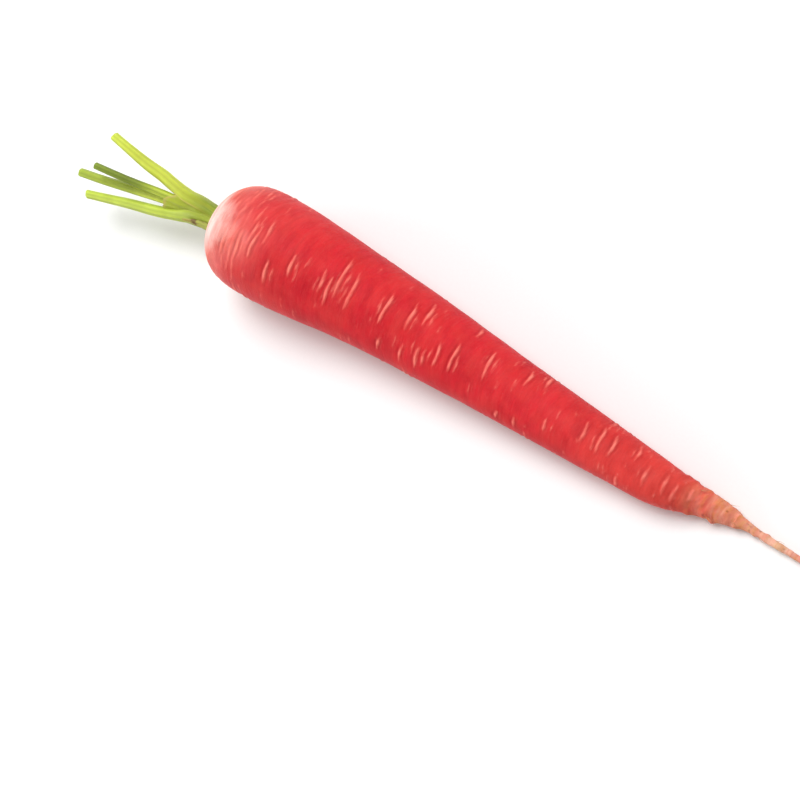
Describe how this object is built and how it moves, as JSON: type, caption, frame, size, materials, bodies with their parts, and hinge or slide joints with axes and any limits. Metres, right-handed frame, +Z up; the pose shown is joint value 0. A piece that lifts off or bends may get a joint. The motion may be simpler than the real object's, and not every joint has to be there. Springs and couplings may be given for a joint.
{
  "type": "carrot",
  "caption": "Long tapering red carrot lying on its side, with a thin tail and short cut leaf stalks at its crown.",
  "frame": {"origin": "under the middle of the carrot's box, on the surface that it lies on", "axes": "+X from the leaf stalks to the tail, +Y across, +Z up"},
  "size_m": [0.3252, 0.0382, 0.0378],
  "materials": {
    "root_skin": "satin",
    "stalk_yellow_green": "satin",
    "stalk_pale_green": "satin",
    "stalk_dark_green": "satin",
    "stalk_green": "satin",
    "dried_leaf": "matte"
  },
  "bodies": {
    "root": {"taproot": "root_skin", "leaf_stalk_outer": "stalk_yellow_green", "leaf_stalk_lower": "stalk_pale_green", "leaf_stalk_dark": "stalk_dark_green", "leaf_stalk_middle": "stalk_green", "dried_sheath": "dried_leaf"}
  },
  "joints": []
}
